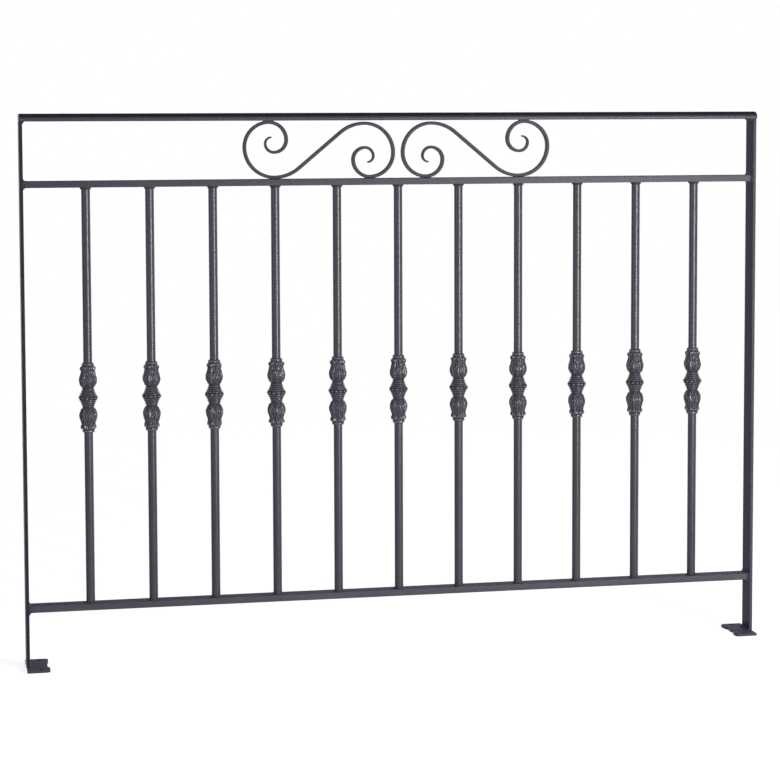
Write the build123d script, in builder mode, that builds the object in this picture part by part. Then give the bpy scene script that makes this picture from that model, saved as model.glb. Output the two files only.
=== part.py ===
from build123d import *
import os
from math import cos, radians, sin

# Steel balustrade panel
# Origin: on the underside of the left foot plate, under the middle of the left post.
# X runs along the panel to the right, Y runs from the front to the back, Z is up.

# Overall layout
overall_height = 1000.0
baluster_count = 11
baluster_pitch = 114.5

# End posts, flat bar set edge on to the panel
post_thickness = 6.0
post_depth = 40.0

# Rails, flat bar laid flat between the posts
rail_thickness = 12.0
rail_depth = 30.0
frieze_height = 106.0
bottom_rail_top = 115.0

# Handrail, one convex bar across both posts
handrail_width = 50.0
handrail_thickness = 14.0
handrail_shoulder = 4.5
handrail_shoulder_radius = 3.0
handrail_arris_radius = 1.0

# Foot plates with a scalloped inner edge
foot_thickness = 5.0
foot_depth = 90.0
foot_reach = 40.0
foot_corner_radius = 7.0
scallop_depth = 4.0
scallop_bump = 2.0
scallop_notch_offset = 14.0
anchor_spacing = 70.0
anchor_hole_diameter = 9.0
anchor_inset = 24.0

# Round bar balusters between the mid rail and the bottom rail
baluster_diameter = 16.0

# Cast collars, threaded on to the balusters just below the middle of their height
collar_height = 126.0
collar_drop = 2.5
collar_clearance = 0.15
leaf_count = 8
flute_share = 0.12

# Each level of a collar's half, as its height from the middle and how far it stands out from the bar
rim_stand = 9.9
neck_height = 15.4
neck_stand = 2.3
cup_base_stand = 3.8
cup_shoulder_height = 26.3
cup_shoulder_stand = 7.6
bulb_height = 33.0
bulb_stand = 8.3
throat_height = 50.5
throat_stand = 4.4
leaf_tip_height = 54.5
leaf_tip_stand = 7.4
end_ring_base_stand = 4.4
end_ring_top_stand = 3.0

# S scrolls, flat bar on edge, whose last quarter turns each get thinner towards the tips
scroll_bar_thickness = 6.0
scroll_bar_depth = 12.0
scroll_spacing = 12.0
scroll_crown_gap = 2.4
scroll_outer_turn_share = 0.55
scroll_wind = 0.71
scroll_quarters = 6
scroll_taper_quarters = 3
scroll_thinning = 0.75
scroll_sweep_radius = 70.0
scroll_sweep_angle = 40.0

# Places worked out from the sizes above
panel_span = (baluster_count + 1) * baluster_pitch
panel_middle = panel_span / 2
post_half = post_thickness / 2
handrail_underside = overall_height - handrail_thickness
mid_rail_top = handrail_underside - frieze_height
mid_rail_underside = mid_rail_top - rail_thickness
rail_length = panel_span - post_thickness
baluster_length = mid_rail_underside - bottom_rail_top
baluster_radius = baluster_diameter / 2
collar_middle = (mid_rail_underside + bottom_rail_top) / 2 - collar_drop

os.makedirs("parts", exist_ok=True)


def save(solid, name):
    solid.label = name
    export_step(solid, f"parts/{name}.step")


# Handrail
with BuildPart() as handrail:
    with BuildSketch(Plane.YZ.offset(-post_half)):
        with BuildLine():
            edge = handrail_width / 2
            base = handrail_underside
            shoulder = base + handrail_shoulder
            Polyline((-edge, shoulder), (-edge, base), (edge, base), (edge, shoulder))
            ThreePointArc((edge, shoulder), (0, overall_height), (-edge, shoulder))
        make_face()
        fillet(vertices().group_by(Axis.Y)[-1], handrail_shoulder_radius)
        fillet(vertices().group_by(Axis.Y)[0], handrail_arris_radius)
    extrude(amount=panel_span + post_thickness)
save(handrail.part, "handrail")

# Mid rail and bottom rail
for rail_name, rail_top in (("mid_rail", mid_rail_top), ("bottom_rail", bottom_rail_top)):
    with BuildPart() as rail:
        with BuildSketch(Plane.XY.offset(rail_top)):
            with Locations((panel_middle, 0)):
                Rectangle(rail_length, rail_depth)
        extrude(amount=-rail_thickness)
    save(rail.part, rail_name)

# End posts
for post_name, post_x in (("left_post", 0), ("right_post", panel_span)):
    with BuildPart() as post:
        with BuildSketch(Plane.XY.offset(foot_thickness)):
            with Locations((post_x, 0)):
                Rectangle(post_thickness, post_depth)
        extrude(amount=handrail_underside - foot_thickness)
    save(post.part, post_name)

# Foot plates, flush with the outer faces of the posts
foot_half = foot_depth / 2
foot_inner = foot_reach - post_half
with BuildPart() as left_foot:
    with BuildSketch():
        with BuildLine():
            notch = foot_inner - scallop_depth
            lobe_middle = (foot_half + scallop_notch_offset) / 2
            front = Line((-post_half, -foot_half), (foot_inner, -foot_half))
            back = Line((-post_half, foot_half), (foot_inner, foot_half))
            Line(front @ 0, back @ 0)
            bump = ThreePointArc(
                (notch, -scallop_notch_offset),
                (notch + scallop_bump, 0),
                (notch, scallop_notch_offset),
            )
            ThreePointArc(front @ 1, (foot_inner + scallop_bump / 2, -lobe_middle), bump @ 0)
            ThreePointArc(bump @ 1, (foot_inner + scallop_bump / 2, lobe_middle), back @ 1)
        make_face()
        fillet(vertices().group_by(Axis.X)[-1], foot_corner_radius)
    extrude(amount=foot_thickness)
    with Locations((anchor_inset - post_half, 0)):
        with GridLocations(0, anchor_spacing, 1, 2):
            Hole(anchor_hole_diameter / 2)
save(left_foot.part, "left_foot")

with BuildPart() as right_foot:
    mirror(left_foot.part, about=Plane.YZ.offset(panel_middle))
save(right_foot.part, "right_foot")

# Balusters
for number in range(1, baluster_count + 1):
    with BuildPart() as baluster:
        with BuildSketch(Plane.XY.offset(bottom_rail_top)):
            with Locations((number * baluster_pitch, 0)):
                Circle(baluster_radius)
        extrude(amount=baluster_length)
    save(baluster.part, f"baluster_{number:02d}")

# Cast collars, a round waist with a sharp rim between two fluted leaf cups, each closed by a round end ring
half_height = collar_height / 2
waist = [
    (-neck_height, neck_stand),
    (0, rim_stand),
    (neck_height, neck_stand),
]
leaf_cup = [
    (neck_height, cup_base_stand),
    (cup_shoulder_height, cup_shoulder_stand),
    (bulb_height, bulb_stand),
    (throat_height, throat_stand),
    (leaf_tip_height, leaf_tip_stand),
]
end_ring = [
    (leaf_tip_height, end_ring_base_stand),
    (half_height, end_ring_top_stand),
]


def corner_ring(height, stand, flute):
    # One corner on the middle of each leaf and one in the flute beside it
    corners = []
    for corner in range(2 * leaf_count):
        radius = (baluster_radius + stand) * (1 - flute * (corner % 2))
        corners.append(Vector(radius, 0, height).rotate(Axis.Z, 180 * corner / leaf_count))
    return corners


def stack(levels, flute, side):
    # A closed skin of flat panels from one level's ring of corners to the next
    rings = [corner_ring(side * height, stand, flute) for height, stand in levels]
    panels = [Face(Wire.make_polygon(rings[0])), Face(Wire.make_polygon(rings[-1]))]
    for low, high in zip(rings, rings[1:]):
        for corner in range(2 * leaf_count):
            outline = [low[corner - 1], low[corner], high[corner], high[corner - 1]]
            panels.append(Face(Wire.make_polygon(outline)))
    return Solid(Shell(panels))


with BuildPart() as collar:
    add(stack(waist, 0, 1))
    for side in (1, -1):
        add(stack(leaf_cup, flute_share, side))
        add(stack(end_ring, 0, side))
    with Locations((0, 0, half_height)):
        Hole(baluster_radius + collar_clearance, depth=collar_height)

for number in range(1, baluster_count + 1):
    with BuildPart() as placed_collar:
        with Locations((number * baluster_pitch, 0, collar_middle)):
            add(collar.part)
    save(placed_collar.part, f"collar_{number:02d}")


# S scrolls
bar_half = scroll_bar_thickness / 2


def volute_radii(clear_height):
    between = clear_height - scroll_bar_thickness
    radii = [between * scroll_outer_turn_share, between * (1 - scroll_outer_turn_share)]
    while len(radii) < scroll_quarters:
        radii.append(radii[-1] * scroll_wind)
    return radii


def volute_halves():
    # Half the thickness in each quarter turn, full at first and thinner by one step a quarter
    halves = [bar_half] * (scroll_quarters - scroll_taper_quarters)
    for step in range(1, scroll_taper_quarters + 1):
        halves.append(bar_half - step * scroll_thinning / 2)
    return halves


def volute(base, facing, clear_height):
    # Each edge of the bar is its own chain of quarter circles, wound inwards from the base.
    # The bar thins where the two edges' radii draw together.
    with BuildSketch() as ribbon:
        with BuildLine():
            edge_ends = []
            turns = list(zip(volute_radii(clear_height), volute_halves()))
            for side in (1, -1):
                point = base + Vector(side * bar_half, 0).rotate(Axis.Z, facing)
                start = point
                for quarter, (radius, half) in enumerate(turns):
                    edge_radius = radius + side * half
                    angle = facing + 90 * quarter
                    centre = point - Vector(edge_radius, 0).rotate(Axis.Z, angle)
                    CenterArc(centre, edge_radius, angle, 90)
                    point = centre + Vector(edge_radius, 0).rotate(Axis.Z, angle + 90)
                edge_ends.append((start, point))
            Line(edge_ends[0][0], edge_ends[1][0])
            Line(edge_ends[0][1], edge_ends[1][1])
        make_face()
    return ribbon.sketch


inner_clear = frieze_height - scroll_crown_gap
sweep = radians(scroll_sweep_angle)
inner_top = Vector(
    panel_middle + scroll_spacing / 2 + bar_half + volute_radii(inner_clear)[0],
    mid_rail_top + inner_clear - bar_half,
)
rise = inner_top.Y - mid_rail_top - bar_half
straight = (rise - 2 * scroll_sweep_radius * (1 - cos(sweep))) / sin(sweep)
outer_base = Vector(
    inner_top.X + 2 * scroll_sweep_radius * sin(sweep) + straight * cos(sweep),
    mid_rail_top + bar_half,
)

with BuildPart() as scroll_right:
    with BuildSketch(Plane.XZ):
        add(volute(outer_base, 270, frieze_height))
        add(volute(inner_top, 90, inner_clear))
        with BuildLine():
            sides = []
            for offset_out in (bar_half, -bar_half):
                low_arc = CenterArc(
                    outer_base + Vector(0, scroll_sweep_radius),
                    scroll_sweep_radius + offset_out,
                    270,
                    -scroll_sweep_angle,
                )
                high_arc = CenterArc(
                    inner_top - Vector(0, scroll_sweep_radius),
                    scroll_sweep_radius - offset_out,
                    90 - scroll_sweep_angle,
                    scroll_sweep_angle,
                )
                Line(low_arc @ 1, high_arc @ 0)
                sides.append((low_arc @ 0, high_arc @ 1))
            Line(sides[0][0], sides[1][0])
            Line(sides[0][1], sides[1][1])
        make_face()
    extrude(amount=scroll_bar_depth / 2, both=True)
save(scroll_right.part, "scroll_right")

with BuildPart() as scroll_left:
    mirror(scroll_right.part, about=Plane.YZ.offset(panel_middle))
save(scroll_left.part, "scroll_left")
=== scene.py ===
import bmesh
import bpy
import numpy as np
from math import cos, floor as whole, pi, radians, sin, tau
from mathutils import Matrix, Vector, noise


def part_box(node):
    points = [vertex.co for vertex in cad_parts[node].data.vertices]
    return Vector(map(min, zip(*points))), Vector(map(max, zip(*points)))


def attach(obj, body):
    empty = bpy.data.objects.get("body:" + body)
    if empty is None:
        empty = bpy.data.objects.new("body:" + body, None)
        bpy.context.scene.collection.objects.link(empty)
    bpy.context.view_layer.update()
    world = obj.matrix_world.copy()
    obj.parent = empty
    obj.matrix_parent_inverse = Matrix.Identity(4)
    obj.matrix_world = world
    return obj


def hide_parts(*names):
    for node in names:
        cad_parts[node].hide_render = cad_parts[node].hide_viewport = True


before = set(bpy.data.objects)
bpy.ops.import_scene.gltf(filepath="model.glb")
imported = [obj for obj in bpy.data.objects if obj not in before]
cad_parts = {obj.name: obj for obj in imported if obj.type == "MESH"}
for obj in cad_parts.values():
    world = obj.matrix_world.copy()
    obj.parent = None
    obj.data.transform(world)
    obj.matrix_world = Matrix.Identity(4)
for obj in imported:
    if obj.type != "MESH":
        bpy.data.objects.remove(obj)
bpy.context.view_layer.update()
scene = bpy.context.scene
body = "root"
mm = 0.001

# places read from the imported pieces, metres
bottomLow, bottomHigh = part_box("bottom_rail")
midLow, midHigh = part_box("mid_rail")
capLow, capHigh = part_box("handrail")
postLow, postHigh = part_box("left_post")
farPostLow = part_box("right_post")[0]
collarNodes = sorted(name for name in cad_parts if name.startswith("collar_"))
barNodes = sorted(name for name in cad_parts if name.startswith("baluster_"))
barXs = [(low.x + high.x) / 2 for low, high in (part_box(name) for name in barNodes)]
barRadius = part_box(barNodes[0])[1].y
collarLow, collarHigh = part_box(collarNodes[0])
print("frame loaded,", len(barNodes), "balusters")


# a socket that takes part in sums, each of which adds its Math nodes
class Value:
    def __init__(self, nodeTree, socket):
        self.nodeTree = nodeTree
        self.socket = socket

    def maths(self, operation, other=None, swapped=False):
        node = self.nodeTree.nodes.new("ShaderNodeMath")
        node.operation = operation
        for place, item in enumerate((other, self) if swapped else (self, other)):
            if isinstance(item, Value):
                self.nodeTree.links.new(item.socket, node.inputs[place])
            elif item is not None:
                node.inputs[place].default_value = item
        return Value(self.nodeTree, node.outputs[0])

    def __add__(self, other):
        return self.maths("ADD", other)

    def __radd__(self, other):
        return self.maths("ADD", other, swapped=True)

    def __sub__(self, other):
        return self.maths("SUBTRACT", other)

    def __rsub__(self, other):
        return self.maths("SUBTRACT", other, swapped=True)

    def __mul__(self, other):
        return self.maths("MULTIPLY", other)

    def __rmul__(self, other):
        return self.maths("MULTIPLY", other, swapped=True)

    def __truediv__(self, other):
        return self.maths("DIVIDE", other)

    def __rtruediv__(self, other):
        return self.maths("DIVIDE", other, swapped=True)


# any other node: its type, its settings, and its sockets by name with _ for a space, or by place as i0, i1
class NodeMaker:
    prefix = ""

    def node(self, kind, settings=None, outlet=0, **sockets):
        node = self.nodeTree.nodes.new(self.prefix + kind)
        for name, value in (settings or {}).items():
            if name == "stops":
                for stop, (place, colour) in zip(node.color_ramp.elements, value):
                    stop.position = place
                    stop.color = colour
            else:
                setattr(node, name, value)
        for name, value in sockets.items():
            byPlace = name[0] == "i" and name[1:].isdigit()
            socket = node.inputs[int(name[1:]) if byPlace else name.replace("_", " ")]
            if isinstance(value, Value):
                self.nodeTree.links.new(value.socket, socket)
            else:
                socket.default_value = value
        return Value(self.nodeTree, node.outputs[outlet])


# the nodes of a material or of the world
class Shader(NodeMaker):
    prefix = "ShaderNode"

    def __init__(self, owner):
        owner.use_nodes = True
        self.nodeTree = owner.node_tree
        self.nodeTree.nodes.clear()

    def speckle(self, place, size, detail, roughness):
        return self.node("TexNoise", Vector=place, Scale=size, Detail=detail, Roughness=roughness)

    def blend(self, share, under, over):
        return self.node("Mix", dict(data_type="RGBA"), outlet=2, i0=share, i6=under, i7=over)

    def rise(self, value, low, high):
        return self.node("MapRange", dict(interpolation_type="SMOOTHSTEP"), Value=value, From_Min=low,
                         From_Max=high)

    def rays(self):
        return [self.node("LightPath", outlet=kind)
                for kind in ("Is Camera Ray", "Is Glossy Ray", "Is Transmission Ray")]

    def finish(self, surface, output="OutputMaterial"):
        end = self.nodeTree.nodes.new(self.prefix + output)
        self.nodeTree.links.new(surface.socket, end.inputs["Surface"])


# satin charcoal paint over steel, thick enough to round its own grain
paintLook = dict(
    dark=(0.038, 0.037, 0.044, 1), light=(0.058, 0.057, 0.066, 1), roughness=0.37, roughnessSwing=0.05,
    fineSwing=0.1, peelSize=700, peelHeight=0.00005, cloudSize=6, gloss=0.1, grain=0.0,
    # upward faces take a lighter, bluer colour: partly dust, partly painted sky light on the tops
    dustAndTopShadingColour=(0.068, 0.066, 0.096, 1), dustAndTopShadingShare=0.8, dustRoughness=0.72, dustAndTopShadingFrom=0.8, dustAndTopShadingTo=0.97,
    # how the patterns are mixed; cloud, fine, peel and sand are each a noise's detail and roughness
    pattern=dict(
        cloud=(5.0, 0.6), fine=(3.0, 0.55), peel=(2.0, 0.5), sand=(4.0, 0.65), fineRatio=22, sandSize=2200.0,
        cloudShare=0.6, fineShare=0.4, darkStop=0.3, lightStop=0.72, dustAndTopShadingBase=0.6, dustAndTopShadingSwing=0.8,
        sideFrom=0.6, sideTo=0.9, sideBase=0.8, sideSwing=0.3,
        crestSwing=0.3, wornFrom=0.52, wornTo=0.85, wornShare=0.75, wornPolish=0.06,
        deepFrom=0.55, deepTo=0.2, deepRoughness=0.35,
    ),
)
# on the handrail the upward colour is near black and reaches down its crown: painted shade on the top
handrailPaint = {**paintLook, "roughness": 0.33, "peelSize": 300, "peelHeight": 0.00016, "gloss": 0.11,
                 "dustAndTopShadingColour": (0.012, 0.012, 0.016, 1), "dustAndTopShadingShare": 1.0, "dustRoughness": 0.95,
                 "dustAndTopShadingFrom": 0.12, "dustAndTopShadingTo": 0.62}
# the left post is a darker copy of the paint, darker still on its wide faces: painted shade
shadedLeftPostPaint = {**paintLook, "dark": (0.02, 0.02, 0.025, 1), "light": (0.033, 0.033, 0.04, 1), "gloss": 0.03,
                 "side": (0.014, 0.014, 0.021, 1)}
# the right post's wide faces are bluer: painted sky light falling from the left
rightPostPaint = {**paintLook, "dark": (0.045, 0.045, 0.05, 1), "light": (0.068, 0.067, 0.073, 1), "gloss": 0.03,
                  "side": (0.037, 0.038, 0.074, 1)}
drawnBarPaint = {**paintLook, "dark": (0.033, 0.033, 0.04, 1), "light": (0.05, 0.05, 0.058, 1),
                 "roughness": 0.25, "peelHeight": 0.000003, "fineSwing": 0.01, "gloss": 0.25}
# the bottom rail is a lighter copy of the paint with a bluer top: painted light on its front and painted sky light
# on its top
litLowRailPaint = {**paintLook, "dark": (0.049, 0.048, 0.055, 1), "light": (0.075, 0.073, 0.081, 1),
                "dustAndTopShadingColour": (0.056, 0.054, 0.092, 1), "dustAndTopShadingShare": 0.9}
scrollPaint = {**paintLook, "dark": (0.043, 0.043, 0.053, 1), "light": (0.066, 0.066, 0.079, 1), "gloss": 0.04,
               "dustAndTopShadingShare": 0.0}
# the casting's hollows go near black: painted shade in its relief
castingPaint = {**paintLook, "dark": (0.019, 0.019, 0.027, 1), "light": (0.031, 0.031, 0.043, 1),
                "roughness": 0.27, "grain": 0.00005, "gloss": 0.5, "hollow": (0.002, 0.002, 0.004, 1),
                "crest": (0.074, 0.074, 0.092, 1)}
# the welds are darker than the flats: painted shade of the crevices where the parts meet
shadedWeldPaint = {**paintLook, "dark": (0.03, 0.03, 0.039, 1), "light": (0.048, 0.048, 0.06, 1), "roughness": 0.36,
             "grain": 0.00006, "gloss": 0.1}


def mixPaint(name, look):
    pattern = look["pattern"]
    material = bpy.data.materials.new(name)
    shader = Shader(material)
    place = shader.node("TexCoord", outlet="Object")
    cloud = shader.speckle(place, look["cloudSize"], *pattern["cloud"])
    fine = shader.speckle(place, look["cloudSize"] * pattern["fineRatio"], *pattern["fine"])
    peel = shader.speckle(place, look["peelSize"], *pattern["peel"])
    stops = [(pattern["darkStop"], look["dark"]), (pattern["lightStop"], look["light"])]
    tone = shader.node("ValToRGB", dict(stops=stops),
                       Fac=cloud * pattern["cloudShare"] + fine * pattern["fineShare"])
    facing = shader.node("NewGeometry", outlet="Normal")
    lying = shader.rise(shader.node("SeparateXYZ", outlet="Z", Vector=facing), look["dustAndTopShadingFrom"], look["dustAndTopShadingTo"])
    dustAndTopShading = lying * (pattern["dustAndTopShadingBase"] + fine * pattern["dustAndTopShadingSwing"])     # what faces up is dull with dust, and its colour there also paints the light and shade on the tops
    colour = shader.blend(dustAndTopShading * look["dustAndTopShadingShare"], tone, look["dustAndTopShadingColour"])
    bare = look["roughness"] + (cloud - 0.5) * look["roughnessSwing"] + (fine - 0.5) * look["fineSwing"]
    rough = bare + dustAndTopShading * (look["dustRoughness"] - bare)
    if "side" in look:                                  # the posts' wide faces take painted light and shade: bluer on the right post, darker on the left
        along = shader.node("SeparateXYZ", outlet="X", Vector=facing).maths("ABSOLUTE")
        sideways = shader.rise(along, pattern["sideFrom"], pattern["sideTo"])
        paintedSideShading = sideways * (pattern["sideBase"] + cloud * pattern["sideSwing"])
        colour = shader.blend(paintedSideShading, colour, look["side"])
    if "crest" in look:                                 # the paint thins on the crests, and the hollows are painted near black as shade
        crest = shader.node("Attribute", dict(attribute_name="crest"), outlet="Fac")
        worn = shader.rise(crest + (fine - 0.5) * pattern["crestSwing"], pattern["wornFrom"], pattern["wornTo"])
        deep = shader.rise(crest, pattern["deepFrom"], pattern["deepTo"])
        colour = shader.blend(worn * pattern["wornShare"], colour, look["crest"])
        colour = shader.blend(deep, colour, look["hollow"])
        rough = bare + deep * pattern["deepRoughness"] - worn * pattern["wornPolish"]
    height = peel * look["peelHeight"]
    if look["grain"]:
        height = height + shader.speckle(place, pattern["sandSize"], *pattern["sand"]) * look["grain"]
    bump = shader.node("Bump", Strength=1.0, Distance=1.0, Height=height)
    shader.finish(shader.node("BsdfPrincipled", dict(distribution="GGX"), Base_Color=colour, Roughness=rough,
                              Normal=bump, Specular_IOR_Level=look["gloss"]))
    return material


flatPainted = mixPaint("satin_charcoal_on_flat_bar", paintLook)
handrailPainted = mixPaint("satin_charcoal_on_handrail", handrailPaint)
shadedLeftPostPainted = mixPaint("satin_charcoal_shaded_on_left_post", shadedLeftPostPaint)
rightPostPainted = mixPaint("satin_charcoal_on_right_post", rightPostPaint)
scrollPainted = mixPaint("satin_charcoal_on_scrolls", scrollPaint)
barPainted = mixPaint("satin_charcoal_on_round_bar", drawnBarPaint)
litLowRailPainted = mixPaint("satin_charcoal_lit_on_low_rail", litLowRailPaint)
castPainted = mixPaint("satin_charcoal_on_casting", castingPaint)
shadedWeldPainted = mixPaint("satin_charcoal_shaded_on_weld", shadedWeldPaint)
print("paints mixed")

for name in barNodes:
    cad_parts[name].data.materials.clear()
    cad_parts[name].data.materials.append(barPainted)
print("balusters painted")


def settle(piece):
    scene.collection.objects.link(piece)
    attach(piece, body)
    print(piece.name, len(piece.data.polygons), "faces")
    return piece


# flat bar has rolled corners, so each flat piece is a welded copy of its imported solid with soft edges
edgeLook = dict(
    width=dict(handrail=0.0018, mid_rail=0.0009, bottom_rail=0.0009, left_post=0.0009, right_post=0.0009,
               left_foot=0.0007, right_foot=0.0007, scroll_left=0.0023, scroll_right=0.0023),
    paint=dict(handrail=handrailPainted, bottom_rail=litLowRailPainted, left_post=shadedLeftPostPainted,
               right_post=rightPostPainted, scroll_left=scrollPainted, scroll_right=scrollPainted),
    segments=2, sharper=radians(40), smoother=radians(35), flatter=radians(0.5), weldGap=0.00002,
    profile=0.5, mostSides=4, crownSide=0.0042, crownReach=0.013, crownSteps=12,
)


def copyNode(nodeName, look):
    shape = bmesh.new()
    shape.from_mesh(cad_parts[nodeName].data)
    bmesh.ops.remove_doubles(shape, verts=shape.verts, dist=look["weldGap"])
    bmesh.ops.dissolve_limit(shape, angle_limit=look["flatter"], verts=shape.verts, edges=shape.edges)
    return shape


def crownedBar(look):
    # the handrail's section has a low side and a quarter of an ellipse up to its flat top
    rise = capHigh.z - capLow.z - look["crownSide"]
    half = [(capHigh.y, capLow.z)]
    for spot in range(look["crownSteps"] + 1):
        turn = pi / 2 * spot / look["crownSteps"]
        half.append((capHigh.y - look["crownReach"] * (1 - cos(turn)),
                     capLow.z + look["crownSide"] + rise * sin(turn)))
    section = half + [(capLow.y + capHigh.y - y, z) for y, z in reversed(half)]
    shape = bmesh.new()
    ends = [[shape.verts.new((x, y, z)) for y, z in section] for x in (capLow.x, capHigh.x)]
    for end in ends:
        shape.faces.new(end)
    for spot in range(len(section)):
        shape.faces.new((ends[0][spot - 1], ends[0][spot], ends[1][spot], ends[1][spot - 1]))
    bmesh.ops.recalc_face_normals(shape, faces=shape.faces)
    return shape


def softenEdges(nodeName, shape, look):
    corners = [edge for edge in shape.edges if edge.is_manifold and edge.calc_face_angle() > look["sharper"]]
    bmesh.ops.bevel(shape, geom=corners, offset=look["width"][nodeName], segments=look["segments"],
                    profile=look["profile"], affect="EDGES", clamp_overlap=True)
    bmesh.ops.triangulate(shape, faces=[face for face in shape.faces if len(face.verts) > look["mostSides"]])
    mesh = bpy.data.meshes.new(nodeName + "_finished")
    shape.to_mesh(mesh)
    shape.free()
    mesh.shade_smooth()
    mesh.set_sharp_from_angle(angle=look["smoother"])
    mesh.materials.append(look["paint"].get(nodeName, flatPainted))
    draft = bpy.data.objects.new("draft", mesh)
    scene.collection.objects.link(draft)
    draft.modifiers.new("even", "WEIGHTED_NORMAL").keep_sharp = True    # so the flats shade flat up to their edges
    graph = bpy.context.evaluated_depsgraph_get()
    evened = bpy.data.meshes.new_from_object(draft.evaluated_get(graph))
    evened.name = nodeName + "_finished"
    bpy.data.objects.remove(draft)
    piece = settle(bpy.data.objects.new(nodeName + "_finished", evened))
    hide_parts(nodeName)


for name in edgeLook["width"]:
    softenEdges(name, crownedBar(edgeLook) if name == "handrail" else copyNode(name, edgeLook), edgeLook)


# a geometry tree with named inputs
class Tree(NodeMaker):
    def __init__(self, name, inputs):
        self.nodeTree = bpy.data.node_groups.new(name, "GeometryNodeTree")
        self.keys = {}
        face = self.nodeTree.interface
        face.new_socket("Geometry", in_out="INPUT", socket_type="NodeSocketGeometry")
        for title, kind in inputs.items():
            made = face.new_socket(title, in_out="INPUT", socket_type="NodeSocket" + kind)
            self.keys[title] = made.identifier
        face.new_socket("Geometry", in_out="OUTPUT", socket_type="NodeSocketGeometry")
        self.start = self.nodeTree.nodes.new("NodeGroupInput")
        self.end = self.nodeTree.nodes.new("NodeGroupOutput")

    def given(self, title):
        return Value(self.nodeTree, self.start.outputs[title])

    def close(self, geometry, material):
        realized = self.node("GeometryNodeRealizeInstances", Geometry=geometry)
        coated = self.node("GeometryNodeSetMaterial", Geometry=realized, Material=material)
        self.nodeTree.links.new(coated.socket, self.end.inputs["Geometry"])
        return self


def grow(name, tree, values, seedMesh=None):
    seed = bpy.data.objects.new(name + "_seed", seedMesh or bpy.data.meshes.new(name + "_seed"))
    scene.collection.objects.link(seed)
    work = seed.modifiers.new("work", "NODES")
    work.node_group = tree.nodeTree
    for title, value in values.items():
        work[tree.keys[title]] = value
    graph = bpy.context.evaluated_depsgraph_get()
    mesh = bpy.data.meshes.new_from_object(seed.evaluated_get(graph))
    seed.modifiers.remove(work)
    bpy.data.objects.remove(seed)
    mesh.name = name
    return settle(bpy.data.objects.new(name, mesh))


# one cast collar, turned about the bar and carved with leaves, millimetres from its middle
collarLook = dict(
    around=120, fineStep=0.75, wideStep=1.2, fineTo=17.0, bore=8.15, crestReach=2, crestDepth=0.6,
    beads=12, beadRing=15.3, beadSize=(2.5, 3.5, 2.8), beadSegments=10, beadRings=6, seeds=dict(left=4, right=9),
    # heights and rises in millimetres, widths in shares of a leaf's pitch, spans along it in shares of its length
    leaf=dict(
        count=8, tip=19.0, length=33.0, rise=1.9, doming=1.6, halfWidth=0.49, edge=0.12,
        widens=0.3, narrows=(0.6, 1.0), narrowing=0.25, ends=(0.94, 1.06),
        curl=0.6, curlEnds=0.16, tipShare=0.6, tipEnds=0.3,
        rows=((0.5, 6.5, 0.55), (0.0, 0.0, 1.0)),       # each row's turn, its start beyond the tips and its lift
        lobes=0.13, lobePitch=6.8, ribs=2, ribRise=1.9, ribFloor=0.55,
        wander=0.085, wanderStep=2.7, wanderByLeaf=2.1, wanderByHalf=1.3,
        crownRise=3.9, crownStarts=(48.0, 53.6), crownEnds=(55.2, 57.2), crownHalf=0.42,
        rough=0.5, roughPitch=3.2, roughRadius=14, roughApart=90, roughStarts=(19.0, 23.0), roughEnds=(52.0, 56.0),
    ),
)
# heights and radii of the turned form under the leaves, from the middle to the end
collarProfile = (
    (0.0, 14.8), (3.0, 14.8), (3.6, 15.8), (4.3, 16.4), (5.1, 15.6), (5.8, 13.6), (6.4, 13.1), (7.1, 14.1),
    (7.9, 14.6), (8.7, 13.8), (9.4, 12.0), (10.0, 11.6), (10.7, 12.6), (11.5, 13.0), (12.3, 12.2), (12.9, 10.8),
    (13.5, 10.5), (14.2, 11.4), (14.9, 11.7), (15.7, 10.9), (16.6, 10.2), (18.0, 10.4), (20.5, 11.3), (25.0, 12.9),
    (31.0, 14.0), (36.0, 13.5), (42.0, 11.7), (47.0, 10.5), (50.5, 10.1), (54.0, 10.7), (56.0, 10.8), (57.2, 10.1),
    (58.4, 10.1), (59.4, 11.0), (61.6, 11.1), (62.5, 10.7), (63.0, 9.8), (64.0, 9.0),
)


def turned(height):
    # a smooth line through the profile's points
    spot = max(place for place, (level, radius) in enumerate(collarProfile[:-1]) if level <= abs(height))
    slopes = []
    for place in (spot, spot + 1):
        before, after = collarProfile[max(place - 1, 0)], collarProfile[min(place + 1, len(collarProfile) - 1)]
        slopes.append((after[1] - before[1]) / (after[0] - before[0]))
    (low, near), (high, far) = collarProfile[spot:spot + 2]
    span = high - low
    t = (abs(height) - low) / span
    return (near * (2 * t ** 3 - 3 * t ** 2 + 1) + slopes[0] * span * (t ** 3 - 2 * t ** 2 + t)
            + far * (3 * t ** 2 - 2 * t ** 3) + slopes[1] * span * (t ** 3 - t ** 2))


def ease(value, low, high):
    # 0 up to low, 1 from high on, and smooth between
    share = min(max((value - low) / (high - low), 0), 1)
    return share * share * (3 - 2 * share)


def oneLeaf(height, half, across, leaf, delay, look):
    # a tongue with a lobed edge, ribs that wander and a curled tip; half tells the collar's two ends apart
    start = look["tip"] + delay
    along = (height - start) / look["length"]
    if along <= 0:
        return 0
    width = look["halfWidth"] * min(along / look["widens"], 1) ** 0.5
    width *= 1 - look["narrowing"] * ease(along, *look["narrows"])
    width *= 1 - look["lobes"] * (1 + sin(tau * (height - start) / look["lobePitch"])) / 2
    inside = ease(width - abs(across), 0, look["edge"]) * (1 - ease(along, *look["ends"]))
    sway = sin(height / look["wanderStep"] + look["wanderByLeaf"] * leaf + look["wanderByHalf"] * half)
    lean = across / width / 2 + look["wander"] * sway
    rib = look["ribRise"] * (abs(cos(look["ribs"] * pi * lean)) - look["ribFloor"])
    curl = look["curl"] * (1 - ease(along, 0, look["curlEnds"]))
    growth = look["tipShare"] + (1 - look["tipShare"]) * ease(along, 0, look["tipEnds"])
    return inside * ((look["rise"] * (1 - look["doming"] * across ** 2) + rib) * growth + curl)


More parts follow.
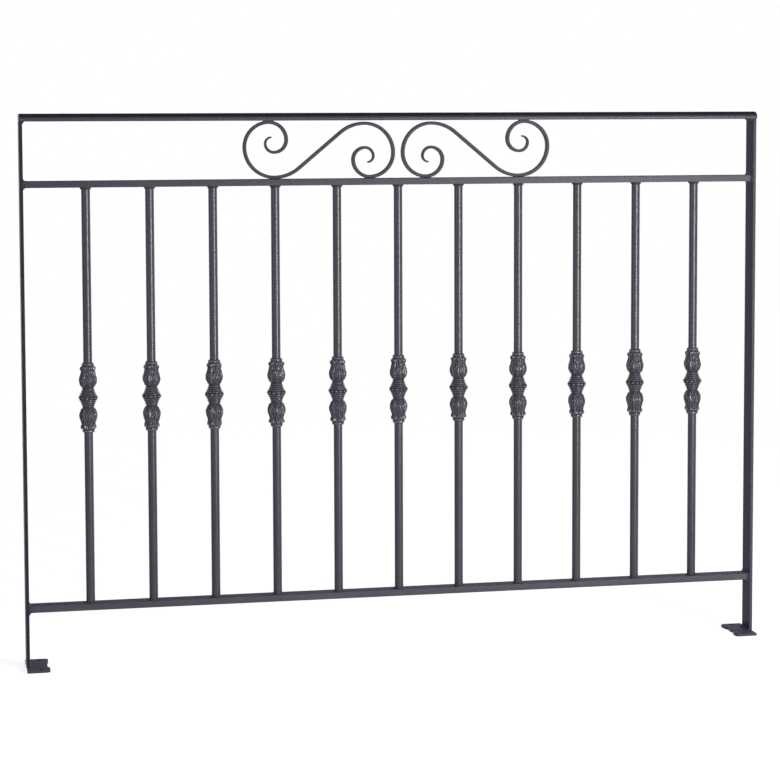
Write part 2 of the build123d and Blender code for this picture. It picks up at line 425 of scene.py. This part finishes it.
def leafRelief(height, angle, look):
    # leaves lie on each cup with their tips to the middle, and a second row shows between them
    half = height < 0
    height = abs(height)
    relief = 0
    for turn, delay, lift in look["rows"]:
        place = angle * look["count"] / tau + turn
        relief = max(relief, lift * oneLeaf(height, half, place % 1 - 0.5, whole(place), delay, look))
    across = angle * look["count"] / tau % 1 - 0.5
    crown = ease(height, *look["crownStarts"]) * (1 - ease(height, *look["crownEnds"]))
    crown *= 1 - ease(abs(across), 0, look["crownHalf"])
    spot = Vector((cos(angle) * look["roughRadius"], sin(angle) * look["roughRadius"],
                   height + look["roughApart"] * half)) / look["roughPitch"]
    pitted = noise.noise(spot) * ease(height, *look["roughStarts"]) * (1 - ease(height, *look["roughEnds"]))
    return relief + look["rough"] * pitted + look["crownRise"] * crown


def standOut(radii, look):
    # 0 in a hollow, 1 on a crest: how far each point stands out from those round it
    reach = look["crestReach"]
    padded = np.pad(np.pad(radii, ((reach, reach), (0, 0)), mode="edge"), ((0, 0), (reach, reach)), mode="wrap")
    blurred = np.zeros_like(radii)
    for row in range(2 * reach + 1):
        for step in range(2 * reach + 1):
            blurred += padded[row:row + radii.shape[0], step:step + radii.shape[1]]
    blurred /= (2 * reach + 1) ** 2
    return np.clip(0.5 + (radii - blurred) / look["crestDepth"], 0, 1)


def crestedPiece(name, shape, crests):
    mesh = bpy.data.meshes.new(name)
    shape.to_mesh(mesh)
    shape.free()
    mesh.attributes.new("crest", "FLOAT", "POINT").data.foreach_set("value", crests)
    mesh.shade_smooth()
    return bpy.data.objects.new(name, mesh)


def castCollar(look):
    end = (collarHigh.z - collarLow.z) / 2 / mm
    fineRows = round(look["fineTo"] / look["fineStep"])
    wideRows = round((end - look["fineTo"]) / look["wideStep"])
    upper = [look["fineTo"] * spot / fineRows for spot in range(fineRows + 1)]
    upper += [look["fineTo"] + (end - look["fineTo"]) * (spot + 1) / wideRows for spot in range(wideRows)]
    heights = [-height for height in reversed(upper[1:])] + upper
    angles = [tau * step / look["around"] for step in range(look["around"])]
    radii = np.array([[turned(height) + leafRelief(height, angle, look["leaf"]) for angle in angles]
                      for height in heights])
    bore = np.full((1, look["around"]), look["bore"])
    crests = np.vstack([bore * 0, standOut(radii, look), bore * 0])
    radii = np.vstack([bore, radii, bore])
    heights = [-end] + heights + [end]
    shape = bmesh.new()
    rings = [[shape.verts.new((radius * cos(angle) * mm, radius * sin(angle) * mm, height * mm))
              for radius, angle in zip(ring, angles)] for ring, height in zip(radii, heights)]
    for low, high in zip(rings, rings[1:] + rings[:1]):
        for step in range(look["around"]):
            shape.faces.new((low[step - 1], low[step], high[step], high[step - 1]))
    bmesh.ops.recalc_face_normals(shape, faces=shape.faces)
    return crestedPiece("casting", shape, crests.ravel())


def oneBead(look):
    shape = bmesh.new()
    bmesh.ops.create_uvsphere(shape, u_segments=look["beadSegments"], v_segments=look["beadRings"], radius=mm)
    bmesh.ops.scale(shape, vec=look["beadSize"], verts=shape.verts)
    crests = [min(max(vertex.co.x / mm / look["beadSize"][0], 0), 1) for vertex in shape.verts]
    return crestedPiece("bead", shape, crests)


def collarTree():
    tree = Tree("collar_row", {"Casting": "Object", "Bead": "Object", "Count": "Int", "Pitch": "Float",
                               "First": "Vector", "Beads": "Int", "Bead Ring": "Float", "Seed": "Int"})
    step = tree.node("ShaderNodeCombineXYZ", X=tree.given("Pitch"))
    bars = tree.node("GeometryNodeMeshLine", Count=tree.given("Count"), Start_Location=tree.given("First"),
                     Offset=step)
    casting = tree.node("GeometryNodeObjectInfo", outlet="Geometry", Object=tree.given("Casting"))
    bead = tree.node("GeometryNodeObjectInfo", outlet="Geometry", Object=tree.given("Bead"))
    ring = tree.node("GeometryNodeMeshCircle", Vertices=tree.given("Beads"), Radius=tree.given("Bead Ring"))
    order = tree.node("GeometryNodeInputIndex")
    facing = tree.node("ShaderNodeCombineXYZ", Z=order * tau / tree.given("Beads"))
    necklace = tree.node("GeometryNodeInstanceOnPoints", Points=ring, Instance=bead, Rotation=facing)
    dressed = tree.node("GeometryNodeJoinGeometry", Geometry=casting)
    tree.nodeTree.links.new(necklace.socket, dressed.socket.node.inputs[0])
    turn = tree.node("FunctionNodeRandomValue", dict(data_type="FLOAT"), outlet=1, i3=tau, Seed=tree.given("Seed"))
    spin = tree.node("ShaderNodeCombineXYZ", Z=turn)
    placed = tree.node("GeometryNodeInstanceOnPoints", Points=bars, Instance=dressed, Rotation=spin)
    return tree.close(placed, castPainted)


casting, bead = castCollar(collarLook), oneBead(collarLook)
rowTree = collarTree()
halfRow = (len(barXs) + 1) // 2
for side, nodes, xs in (("left", collarNodes[:halfRow], barXs[:halfRow]),
                        ("right", collarNodes[halfRow:], barXs[halfRow:])):
    collars = grow("cast_collars_" + side, rowTree, {
        "Casting": casting, "Bead": bead, "Count": len(xs), "Pitch": xs[1] - xs[0],
        "First": (xs[0], 0, (collarLow.z + collarHigh.z) / 2), "Beads": collarLook["beads"],
        "Bead Ring": collarLook["beadRing"] * mm, "Seed": collarLook["seeds"][side],
    })
    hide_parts(*nodes)
bpy.data.objects.remove(casting)
bpy.data.objects.remove(bead)


# weld beads run round the bars' ends and along the corners between rails, posts and feet, metres
weldLook = dict(size=0.0026, toe=0.0026, toeShare=0.52, footShare=0.8, ripple=0.16, rippleStep=0.0028, swing=0.25,
                spread=90.0, sides=8, spacing=0.0011, ringSteps=36, capInset=0.002, tackReach=0.0065,
                touchDepth=0.0002, touchApart=0.02, blobDetail=2.0, seed=11.0)


def scrollTouches(nodeName, level, look):
    # where a scroll lies on a rail, as the middle of each run of its points at the rail's height
    places, touch = [], []
    for x in sorted({round(vertex.co.x, 5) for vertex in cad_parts[nodeName].data.vertices
                     if abs(vertex.co.z - level) < look["touchDepth"]}):
        if touch and x - touch[-1] > look["touchApart"]:
            places.append((touch[0] + touch[-1]) / 2)
            touch = []
        touch.append(x)
    if touch:
        places.append((touch[0] + touch[-1]) / 2)
    return places


def weldPaths(look):
    # a run of full size lies in each corner, and thinner runs beside it draw the weld out to a fillet
    points, edges, shares = [], [], []
    toe, thin = look["toe"], look["toeShare"]

    def run(path, share=1.0, closed=False):
        start = len(points)
        points.extend(path)
        shares.extend(share for point in path)
        edges.extend((start + spot, start + spot + 1) for spot in range(len(path) - 1))
        if closed:
            edges.append((len(points) - 1, start))

    def ring(x, height, share):
        turns = [tau * spot / look["ringSteps"] for spot in range(look["ringSteps"])]
        run([(x + barRadius * cos(turn), barRadius * sin(turn), height) for turn in turns], share, closed=True)

    def loopRound(x, low, high, out, share):
        run([(x, low.y - out, low.z - out), (x, high.y + out, low.z - out), (x, high.y + out, high.z + out),
             (x, low.y - out, high.z + out)], share, closed=True)

    for x in barXs:
        ring(x, bottomHigh.z, look["footShare"])
        ring(x, midLow.z, 1.0)
        ring(x, midLow.z - toe, thin)
    for x, inward in ((postHigh.x, 1), (farPostLow.x, -1)):
        for low, high in ((bottomLow, bottomHigh), (midLow, midHigh)):
            loopRound(x, low, high, 0.0, 1.0)
            loopRound(x, low, high, toe, thin)
            loopRound(x + inward * toe, low, high, 0.0, thin)
        for away, drop, share in ((0, 0, 1.0), (toe, 0, thin), (0, toe, thin)):
            run([(x + inward * away, postLow.y + look["capInset"], capLow.z - drop),
                 (x + inward * away, postHigh.y - look["capInset"], capLow.z - drop)], share)
        run([(x, postLow.y, postLow.z), (x, postHigh.y, postLow.z)])
    for name in ("scroll_left", "scroll_right"):
        low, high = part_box(name)
        for level in (midHigh.z, capLow.z):
            for x in scrollTouches(name, level, look):
                for tack in (x - look["tackReach"], x + look["tackReach"]):
                    run([(tack, low.y, level), (tack, high.y, level)])
    mesh = bpy.data.meshes.new("weld_paths")
    mesh.from_pydata(points, edges, [])
    mesh.attributes.new("share", "FLOAT", "POINT").data.foreach_set("value", shares)
    return mesh


def weldTree(look):
    tree = Tree("weld_beads", {"Size": "Float", "Ripple": "Float", "Ripple Step": "Float", "Swing": "Float",
                               "Spread": "Float", "Sides": "Int", "Spacing": "Float", "Seed": "Float"})
    paths = tree.node("GeometryNodeMeshToCurve", Mesh=tree.given("Geometry"))
    paths = tree.node("GeometryNodeResampleCurve", dict(mode="LENGTH"), Curve=paths, Length=tree.given("Spacing"))
    along = tree.node("GeometryNodeSplineParameter", outlet="Length")
    wave = (along / tree.given("Ripple Step") * tau).maths("SINE")
    place = tree.node("GeometryNodeInputPosition")
    blobs = tree.node("ShaderNodeTexNoise", dict(noise_dimensions="4D"), Vector=place, W=tree.given("Seed"),
                      Scale=tree.given("Spread"), Detail=look["blobDetail"])
    share = tree.node("GeometryNodeInputNamedAttribute", dict(data_type="FLOAT"), Name="share")
    swell = 1 + wave * tree.given("Ripple") + (blobs - 0.5) * 2 * tree.given("Swing")
    outline = tree.node("GeometryNodeCurvePrimitiveCircle", Resolution=tree.given("Sides"), Radius=1.0)
    beads = tree.node("GeometryNodeCurveToMesh", Curve=paths, Profile_Curve=outline,
                      Scale=tree.given("Size") * share * swell, Fill_Caps=True)
    return tree.close(tree.node("GeometryNodeSetShadeSmooth", Geometry=beads), shadedWeldPainted)


grow("weld_beads", weldTree(weldLook), {
    "Size": weldLook["size"], "Ripple": weldLook["ripple"], "Ripple Step": weldLook["rippleStep"],
    "Swing": weldLook["swing"], "Spread": weldLook["spread"], "Sides": weldLook["sides"],
    "Spacing": weldLook["spacing"], "Seed": weldLook["seed"],
}, weldPaths(weldLook))


# the photograph's viewpoint; focal and frame are in its pixels
camLook = dict(
    place=(-0.203, -4.1549, 0.9998), heading=0.20744, pitch=radians(4.268), roll=radians(-0.173),
    focal=2305.1, frame=780, shift=-0.135, near=0.05, far=100,
)


def setCamera(look):
    data = bpy.data.cameras.new("camera")
    camera = bpy.data.objects.new("camera", data)
    scene.collection.objects.link(camera)
    data.sensor_fit = "HORIZONTAL"
    data.lens = look["focal"] / look["frame"] * data.sensor_width
    data.shift_y = look["shift"]
    data.clip_start = look["near"]
    data.clip_end = look["far"]
    ahead = Vector((sin(look["heading"]) * cos(look["pitch"]), cos(look["heading"]) * cos(look["pitch"]),
                    -sin(look["pitch"])))
    turn = ahead.to_track_quat("-Z", "Y").to_matrix() @ Matrix.Rotation(look["roll"], 3, "Z")
    camera.matrix_world = Matrix.Translation(Vector(look["place"])) @ turn.to_4x4()
    scene.camera = camera


# pale floor and soft studio light
studio = dict(
    floorColour=(0.85, 0.85, 0.85, 1), floorGlow=0.78, floorSize=16.0, fadeFrom=1.0, fadeTo=3.4,
    white=(1, 1, 1, 1), worldLight=(0.13, 0.13, 0.18, 1), aim=(0.7, 0, 0.6),
    lamps=dict(
        key=dict(place=(2.1, -2.9, 0.62), size=(0.18, 1.15), power=94, colour=(0.97, 0.97, 1)),
        front=dict(place=(1.35, -3.2, 0.7), size=(0.7, 1.2), power=30, colour=(1, 0.98, 0.96)),
        fill=dict(place=(-3.1, -1.3, 0.9), size=(2.0, 1.6), power=28, colour=(0.46, 0.5, 1)),
        rear=dict(place=(3.2, 3.4, 1.7), size=(4.0, 3.0), power=34, colour=(0.9, 0.92, 1)),
    ),
)


def setFloor(look):
    # lit and shadowed near the panel, and fading to plain white further out
    half = look["floorSize"] / 2
    mesh = bpy.data.meshes.new("floor")
    mesh.from_pydata([(-half, -half, 0), (half, -half, 0), (half, half, 0), (-half, half, 0)], [], [(0, 1, 2, 3)])
    floor = bpy.data.objects.new("floor", mesh)
    scene.collection.objects.link(floor)
    material = bpy.data.materials.new("pale_floor")
    shader = Shader(material)
    seen, mirrored, through = shader.rays()
    place = shader.node("TexCoord", outlet="Object")
    away = shader.node("VectorMath", dict(operation="LENGTH"), outlet="Value", Vector=place)
    plain = shader.node("BsdfDiffuse", Color=look["floorColour"])
    bright = shader.node("Emission", Color=look["white"], Strength=1.0)
    glow = shader.node("Emission", Color=look["white"], Strength=look["floorGlow"])
    near = shader.node("MixShader", i0=shader.rise(away, look["fadeFrom"], look["fadeTo"]),
                       i1=shader.node("AddShader", i0=plain, i1=glow), i2=bright)
    mirror = shader.node("MixShader", i0=mirrored.maths("MAXIMUM", through), i1=plain, i2=bright)
    shader.finish(shader.node("MixShader", i0=seen, i1=mirror, i2=near))
    mesh.materials.append(material)


def setWorld(look):
    # white where it is seen, directly or in a reflection, and a soft light for everything else
    scene.world = bpy.data.worlds.new("studio")
    shader = Shader(scene.world)
    seen, mirrored, through = shader.rays()
    soft = shader.node("Background", Color=look["worldLight"], Strength=1.0)
    bright = shader.node("Background", Color=look["white"], Strength=1.0)
    shown = seen.maths("MAXIMUM", mirrored).maths("MAXIMUM", through)
    shader.finish(shader.node("MixShader", i0=shown, i1=soft, i2=bright), "OutputWorld")


def setLamp(name, target, place, size, power, colour):
    data = bpy.data.lights.new(name, "AREA")
    data.shape = "RECTANGLE"
    data.size, data.size_y = size
    data.energy = power
    data.color = colour
    lamp = bpy.data.objects.new(name, data)
    scene.collection.objects.link(lamp)
    aim = (Vector(target) - Vector(place)).to_track_quat("-Z", "Y")
    lamp.matrix_world = Matrix.Translation(Vector(place)) @ aim.to_matrix().to_4x4()


setCamera(camLook)
setFloor(studio)
setWorld(studio)
for name, lampLook in studio["lamps"].items():
    setLamp(name, studio["aim"], **lampLook)
scene.view_settings.view_transform = "Standard"
print("camera, floor and lights set")
